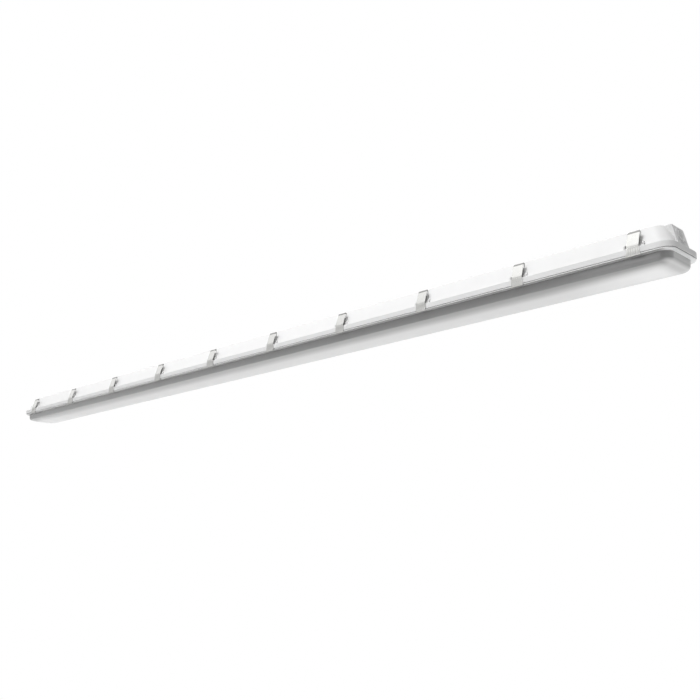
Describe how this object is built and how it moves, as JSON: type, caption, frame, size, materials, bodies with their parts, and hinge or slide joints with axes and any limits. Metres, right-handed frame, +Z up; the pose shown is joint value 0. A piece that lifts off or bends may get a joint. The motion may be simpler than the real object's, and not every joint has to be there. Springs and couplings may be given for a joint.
{
  "type": "vapor tight light fixture",
  "caption": "Long sealed ceiling light: grey moulded housing, bowed frosted lens on a gasket, wire-bail latches with hooked clips down both sides, a plugged entry at each end.",
  "frame": {"origin": "centre of the housing's flat back, on the face that lies against the ceiling", "axes": "+X along the fixture towards the end shown near the camera in the picture, +Y across it, +Z up out of the back towards the ceiling"},
  "size_m": [2.395, 0.1252, 0.0799],
  "materials": {
    "housing_grey": "moulded light grey polycarbonate, fine satin texture",
    "gasket_foam": "foamed-in-place polyurethane, matt",
    "frosted_lens": "frosted moulded lens, semi-gloss outside",
    "stainless_sheet": "bright formed stainless sheet",
    "stainless_wire": "drawn stainless wire",
    "plug_plastic": "moulded grey nylon",
    "tray_white": "white powder-coated steel",
    "board_white": "white solder mask on a metal-core board",
    "driver_case": "satin aluminium case",
    "terminal_plastic": "moulded nylon",
    "button_nylon": "moulded nylon"
  },
  "bodies": {
    "enclosure": {"housing": "housing_grey", "gasket": "gasket_foam", "lens": "frosted_lens", "gear_tray": "tray_white", "led_board_1": "board_white", "led_board_2": "board_white", "led_board_3": "board_white", "led_board_4": "board_white", "driver": "driver_case", "terminal_block": "terminal_plastic", "entry_plug_near": "plug_plastic", "entry_plug_far": "plug_plastic", "entry_nut_near": "plug_plastic", "entry_nut_far": "plug_plastic"},
    "bail_01": {"bail_01": "stainless_wire"},
    "clip_01": {"clip_01": "stainless_sheet"},
    "bail_02": {"bail_02": "stainless_wire"},
    "clip_02": {"clip_02": "stainless_sheet"},
    "bail_03": {"bail_03": "stainless_wire"},
    "clip_03": {"clip_03": "stainless_sheet"},
    "bail_04": {"bail_04": "stainless_wire"},
    "clip_04": {"clip_04": "stainless_sheet"},
    "bail_05": {"bail_05": "stainless_wire"},
    "clip_05": {"clip_05": "stainless_sheet"},
    "bail_06": {"bail_06": "stainless_wire"},
    "clip_06": {"clip_06": "stainless_sheet"},
    "bail_07": {"bail_07": "stainless_wire"},
    "clip_07": {"clip_07": "stainless_sheet"},
    "bail_08": {"bail_08": "stainless_wire"},
    "clip_08": {"clip_08": "stainless_sheet"},
    "bail_09": {"bail_09": "stainless_wire"},
    "clip_09": {"clip_09": "stainless_sheet"},
    "bail_10": {"bail_10": "stainless_wire"},
    "clip_10": {"clip_10": "stainless_sheet"},
    "bail_11": {"bail_11": "stainless_wire"},
    "clip_11": {"clip_11": "stainless_sheet"},
    "bail_12": {"bail_12": "stainless_wire"},
    "clip_12": {"clip_12": "stainless_sheet"},
    "bail_13": {"bail_13": "stainless_wire"},
    "clip_13": {"clip_13": "stainless_sheet"},
    "bail_14": {"bail_14": "stainless_wire"},
    "clip_14": {"clip_14": "stainless_sheet"},
    "bail_15": {"bail_15": "stainless_wire"},
    "clip_15": {"clip_15": "stainless_sheet"},
    "bail_16": {"bail_16": "stainless_wire"},
    "clip_16": {"clip_16": "stainless_sheet"},
    "bail_17": {"bail_17": "stainless_wire"},
    "clip_17": {"clip_17": "stainless_sheet"},
    "bail_18": {"bail_18": "stainless_wire"},
    "clip_18": {"clip_18": "stainless_sheet"},
    "bail_19": {"bail_19": "stainless_wire"},
    "clip_19": {"clip_19": "stainless_sheet"},
    "bail_20": {"bail_20": "stainless_wire"},
    "clip_20": {"clip_20": "stainless_sheet"},
    "tray_button_1": {"tray_button_1": "button_nylon"},
    "tray_button_2": {"tray_button_2": "button_nylon"},
    "tray_button_3": {"tray_button_3": "button_nylon"},
    "tray_button_4": {"tray_button_4": "button_nylon"},
    "tray_button_5": {"tray_button_5": "button_nylon"}
  },
  "joints": [
    {"name": "bail_hinge_01", "type": "hinge", "parent": "enclosure", "child": "bail_01", "pos_m": [-1.125, -0.0545, -0.0336], "axis": [1, 0, 0], "range_deg": [0, 130]},
    {"name": "clip_hinge_01", "type": "hinge", "parent": "bail_01", "child": "clip_01", "pos_m": [-1.125, -0.0505, -0.0087], "axis": [1, 0, 0], "range_deg": [-130, 0]},
    {"name": "bail_hinge_02", "type": "hinge", "parent": "enclosure", "child": "bail_02", "pos_m": [-0.875, -0.0545, -0.0336], "axis": [1, 0, 0], "range_deg": [0, 130]},
    {"name": "clip_hinge_02", "type": "hinge", "parent": "bail_02", "child": "clip_02", "pos_m": [-0.875, -0.0505, -0.0087], "axis": [1, 0, 0], "range_deg": [-130, 0]},
    {"name": "bail_hinge_03", "type": "hinge", "parent": "enclosure", "child": "bail_03", "pos_m": [-0.625, -0.0545, -0.0336], "axis": [1, 0, 0], "range_deg": [0, 130]},
    {"name": "clip_hinge_03", "type": "hinge", "parent": "bail_03", "child": "clip_03", "pos_m": [-0.625, -0.0505, -0.0087], "axis": [1, 0, 0], "range_deg": [-130, 0]},
    {"name": "bail_hinge_04", "type": "hinge", "parent": "enclosure", "child": "bail_04", "pos_m": [-0.375, -0.0545, -0.0336], "axis": [1, 0, 0], "range_deg": [0, 130]},
    {"name": "clip_hinge_04", "type": "hinge", "parent": "bail_04", "child": "clip_04", "pos_m": [-0.375, -0.0505, -0.0087], "axis": [1, 0, 0], "range_deg": [-130, 0]},
    {"name": "bail_hinge_05", "type": "hinge", "parent": "enclosure", "child": "bail_05", "pos_m": [-0.125, -0.0545, -0.0336], "axis": [1, 0, 0], "range_deg": [0, 130]},
    {"name": "clip_hinge_05", "type": "hinge", "parent": "bail_05", "child": "clip_05", "pos_m": [-0.125, -0.0505, -0.0087], "axis": [1, 0, 0], "range_deg": [-130, 0]},
    {"name": "bail_hinge_06", "type": "hinge", "parent": "enclosure", "child": "bail_06", "pos_m": [0.125, -0.0545, -0.0336], "axis": [1, 0, 0], "range_deg": [0, 130]},
    {"name": "clip_hinge_06", "type": "hinge", "parent": "bail_06", "child": "clip_06", "pos_m": [0.125, -0.0505, -0.0087], "axis": [1, 0, 0], "range_deg": [-130, 0]},
    {"name": "bail_hinge_07", "type": "hinge", "parent": "enclosure", "child": "bail_07", "pos_m": [0.375, -0.0545, -0.0336], "axis": [1, 0, 0], "range_deg": [0, 130]},
    {"name": "clip_hinge_07", "type": "hinge", "parent": "bail_07", "child": "clip_07", "pos_m": [0.375, -0.0505, -0.0087], "axis": [1, 0, 0], "range_deg": [-130, 0]},
    {"name": "bail_hinge_08", "type": "hinge", "parent": "enclosure", "child": "bail_08", "pos_m": [0.625, -0.0545, -0.0336], "axis": [1, 0, 0], "range_deg": [0, 130]},
    {"name": "clip_hinge_08", "type": "hinge", "parent": "bail_08", "child": "clip_08", "pos_m": [0.625, -0.0505, -0.0087], "axis": [1, 0, 0], "range_deg": [-130, 0]},
    {"name": "bail_hinge_09", "type": "hinge", "parent": "enclosure", "child": "bail_09", "pos_m": [0.875, -0.0545, -0.0336], "axis": [1, 0, 0], "range_deg": [0, 130]},
    {"name": "clip_hinge_09", "type": "hinge", "parent": "bail_09", "child": "clip_09", "pos_m": [0.875, -0.0505, -0.0087], "axis": [1, 0, 0], "range_deg": [-130, 0]},
    {"name": "bail_hinge_10", "type": "hinge", "parent": "enclosure", "child": "bail_10", "pos_m": [1.125, -0.0545, -0.0336], "axis": [1, 0, 0], "range_deg": [0, 130]},
    {"name": "clip_hinge_10", "type": "hinge", "parent": "bail_10", "child": "clip_10", "pos_m": [1.125, -0.0505, -0.0087], "axis": [1, 0, 0], "range_deg": [-130, 0]},
    {"name": "bail_hinge_11", "type": "hinge", "parent": "enclosure", "child": "bail_11", "pos_m": [-1.125, 0.0545, -0.0336], "axis": [-1, 0, 0], "range_deg": [0, 130]},
    {"name": "clip_hinge_11", "type": "hinge", "parent": "bail_11", "child": "clip_11", "pos_m": [-1.125, 0.0505, -0.0087], "axis": [-1, 0, 0], "range_deg": [-130, 0]},
    {"name": "bail_hinge_12", "type": "hinge", "parent": "enclosure", "child": "bail_12", "pos_m": [-0.875, 0.0545, -0.0336], "axis": [-1, 0, 0], "range_deg": [0, 130]},
    {"name": "clip_hinge_12", "type": "hinge", "parent": "bail_12", "child": "clip_12", "pos_m": [-0.875, 0.0505, -0.0087], "axis": [-1, 0, 0], "range_deg": [-130, 0]},
    {"name": "bail_hinge_13", "type": "hinge", "parent": "enclosure", "child": "bail_13", "pos_m": [-0.625, 0.0545, -0.0336], "axis": [-1, 0, 0], "range_deg": [0, 130]},
    {"name": "clip_hinge_13", "type": "hinge", "parent": "bail_13", "child": "clip_13", "pos_m": [-0.625, 0.0505, -0.0087], "axis": [-1, 0, 0], "range_deg": [-130, 0]},
    {"name": "bail_hinge_14", "type": "hinge", "parent": "enclosure", "child": "bail_14", "pos_m": [-0.375, 0.0545, -0.0336], "axis": [-1, 0, 0], "range_deg": [0, 130]},
    {"name": "clip_hinge_14", "type": "hinge", "parent": "bail_14", "child": "clip_14", "pos_m": [-0.375, 0.0505, -0.0087], "axis": [-1, 0, 0], "range_deg": [-130, 0]},
    {"name": "bail_hinge_15", "type": "hinge", "parent": "enclosure", "child": "bail_15", "pos_m": [-0.125, 0.0545, -0.0336], "axis": [-1, 0, 0], "range_deg": [0, 130]},
    {"name": "clip_hinge_15", "type": "hinge", "parent": "bail_15", "child": "clip_15", "pos_m": [-0.125, 0.0505, -0.0087], "axis": [-1, 0, 0], "range_deg": [-130, 0]},
    {"name": "bail_hinge_16", "type": "hinge", "parent": "enclosure", "child": "bail_16", "pos_m": [0.125, 0.0545, -0.0336], "axis": [-1, 0, 0], "range_deg": [0, 130]},
    {"name": "clip_hinge_16", "type": "hinge", "parent": "bail_16", "child": "clip_16", "pos_m": [0.125, 0.0505, -0.0087], "axis": [-1, 0, 0], "range_deg": [-130, 0]},
    {"name": "bail_hinge_17", "type": "hinge", "parent": "enclosure", "child": "bail_17", "pos_m": [0.375, 0.0545, -0.0336], "axis": [-1, 0, 0], "range_deg": [0, 130]},
    {"name": "clip_hinge_17", "type": "hinge", "parent": "bail_17", "child": "clip_17", "pos_m": [0.375, 0.0505, -0.0087], "axis": [-1, 0, 0], "range_deg": [-130, 0]},
    {"name": "bail_hinge_18", "type": "hinge", "parent": "enclosure", "child": "bail_18", "pos_m": [0.625, 0.0545, -0.0336], "axis": [-1, 0, 0], "range_deg": [0, 130]},
    {"name": "clip_hinge_18", "type": "hinge", "parent": "bail_18", "child": "clip_18", "pos_m": [0.625, 0.0505, -0.0087], "axis": [-1, 0, 0], "range_deg": [-130, 0]},
    {"name": "bail_hinge_19", "type": "hinge", "parent": "enclosure", "child": "bail_19", "pos_m": [0.875, 0.0545, -0.0336], "axis": [-1, 0, 0], "range_deg": [0, 130]},
    {"name": "clip_hinge_19", "type": "hinge", "parent": "bail_19", "child": "clip_19", "pos_m": [0.875, 0.0505, -0.0087], "axis": [-1, 0, 0], "range_deg": [-130, 0]},
    {"name": "bail_hinge_20", "type": "hinge", "parent": "enclosure", "child": "bail_20", "pos_m": [1.125, 0.0545, -0.0336], "axis": [-1, 0, 0], "range_deg": [0, 130]},
    {"name": "clip_hinge_20", "type": "hinge", "parent": "bail_20", "child": "clip_20", "pos_m": [1.125, 0.0505, -0.0087], "axis": [-1, 0, 0], "range_deg": [-130, 0]},
    {"name": "tray_button_turn_1", "type": "hinge", "parent": "enclosure", "child": "tray_button_1", "pos_m": [-1.12, 0, -0.037], "axis": [0, 0, 1], "range_deg": [0, 90]},
    {"name": "tray_button_turn_2", "type": "hinge", "parent": "enclosure", "child": "tray_button_2", "pos_m": [-0.56, 0, -0.037], "axis": [0, 0, 1], "range_deg": [0, 90]},
    {"name": "tray_button_turn_3", "type": "hinge", "parent": "enclosure", "child": "tray_button_3", "pos_m": [0, 0, -0.037], "axis": [0, 0, 1], "range_deg": [0, 90]},
    {"name": "tray_button_turn_4", "type": "hinge", "parent": "enclosure", "child": "tray_button_4", "pos_m": [0.56, 0, -0.037], "axis": [0, 0, 1], "range_deg": [0, 90]},
    {"name": "tray_button_turn_5", "type": "hinge", "parent": "enclosure", "child": "tray_button_5", "pos_m": [1.12, 0, -0.037], "axis": [0, 0, 1], "range_deg": [0, 90]}
  ],
  "couplings": [
    {"joint": "clip_hinge_01", "follows": "bail_hinge_01", "ratio": -1},
    {"joint": "clip_hinge_02", "follows": "bail_hinge_02", "ratio": -1},
    {"joint": "clip_hinge_03", "follows": "bail_hinge_03", "ratio": -1},
    {"joint": "clip_hinge_04", "follows": "bail_hinge_04", "ratio": -1},
    {"joint": "clip_hinge_05", "follows": "bail_hinge_05", "ratio": -1},
    {"joint": "clip_hinge_06", "follows": "bail_hinge_06", "ratio": -1},
    {"joint": "clip_hinge_07", "follows": "bail_hinge_07", "ratio": -1},
    {"joint": "clip_hinge_08", "follows": "bail_hinge_08", "ratio": -1},
    {"joint": "clip_hinge_09", "follows": "bail_hinge_09", "ratio": -1},
    {"joint": "clip_hinge_10", "follows": "bail_hinge_10", "ratio": -1},
    {"joint": "clip_hinge_11", "follows": "bail_hinge_11", "ratio": -1},
    {"joint": "clip_hinge_12", "follows": "bail_hinge_12", "ratio": -1},
    {"joint": "clip_hinge_13", "follows": "bail_hinge_13", "ratio": -1},
    {"joint": "clip_hinge_14", "follows": "bail_hinge_14", "ratio": -1},
    {"joint": "clip_hinge_15", "follows": "bail_hinge_15", "ratio": -1},
    {"joint": "clip_hinge_16", "follows": "bail_hinge_16", "ratio": -1},
    {"joint": "clip_hinge_17", "follows": "bail_hinge_17", "ratio": -1},
    {"joint": "clip_hinge_18", "follows": "bail_hinge_18", "ratio": -1},
    {"joint": "clip_hinge_19", "follows": "bail_hinge_19", "ratio": -1},
    {"joint": "clip_hinge_20", "follows": "bail_hinge_20", "ratio": -1}
  ]
}
